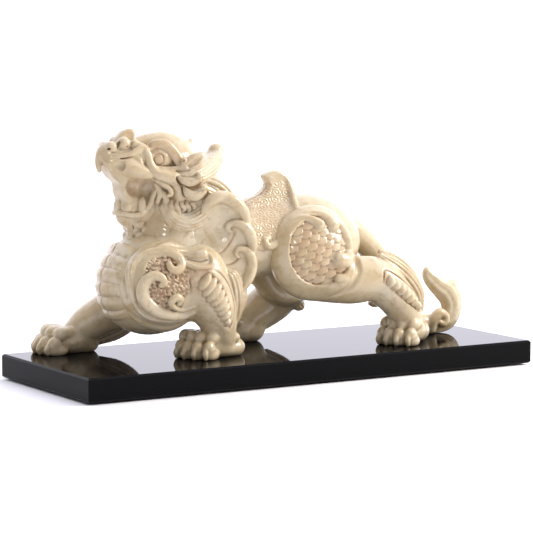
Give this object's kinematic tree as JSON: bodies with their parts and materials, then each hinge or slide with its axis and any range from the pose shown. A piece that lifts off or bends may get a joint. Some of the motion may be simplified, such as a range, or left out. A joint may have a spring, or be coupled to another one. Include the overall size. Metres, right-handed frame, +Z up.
{
  "type": "foo dog statue",
  "caption": "Winged guardian lion figure in carved ivory-coloured stone, striding with its head raised and mouth open, fixed to a polished black plinth slab.",
  "frame": {"origin": "centre of the underside, on the plane where the felt feet rest", "axes": "+Z up; +X along the plinth slab from the beast's head towards its tail, so the beast faces -X; the beast's left side is towards -Y"},
  "size_m": [0.43, 0.1605, 0.2105],
  "materials": {
    "ivory_stone": "polished, with a brown wash left in the carving",
    "polished_granite": "mirror polished",
    "felt": "dense felt",
    "screw_steel": "zinc plated",
    "insert_brass": "turned",
    "dowel_steel": "ground stainless"
  },
  "bodies": {
    "root": {"base_slab": "polished_granite", "torso": "ivory_stone", "head": "ivory_stone", "lower_jaw": "ivory_stone", "left_wing": "ivory_stone", "right_wing": "ivory_stone", "dorsal_crest": "ivory_stone", "left_foreleg": "ivory_stone", "right_foreleg": "ivory_stone", "left_hind_leg": "ivory_stone", "right_hind_leg": "ivory_stone", "tail": "ivory_stone", "felt_foot_left_fore": "felt", "felt_foot_right_fore": "felt", "felt_foot_left_hind": "felt", "felt_foot_right_hind": "felt", "fixing_screw_left_fore": "screw_steel", "fixing_screw_right_fore": "screw_steel", "fixing_screw_left_hind": "screw_steel", "fixing_screw_right_hind": "screw_steel", "washer_left_fore": "screw_steel", "washer_right_fore": "screw_steel", "washer_left_hind": "screw_steel", "washer_right_hind": "screw_steel", "threaded_insert_left_fore": "insert_brass", "threaded_insert_right_fore": "insert_brass", "threaded_insert_left_hind": "insert_brass", "threaded_insert_right_hind": "insert_brass", "dowel_neck": "dowel_steel", "dowel_tail": "dowel_steel", "dowel_left_fore": "dowel_steel", "dowel_right_fore": "dowel_steel", "dowel_left_hind": "dowel_steel", "dowel_right_hind": "dowel_steel"}
  },
  "joints": []
}
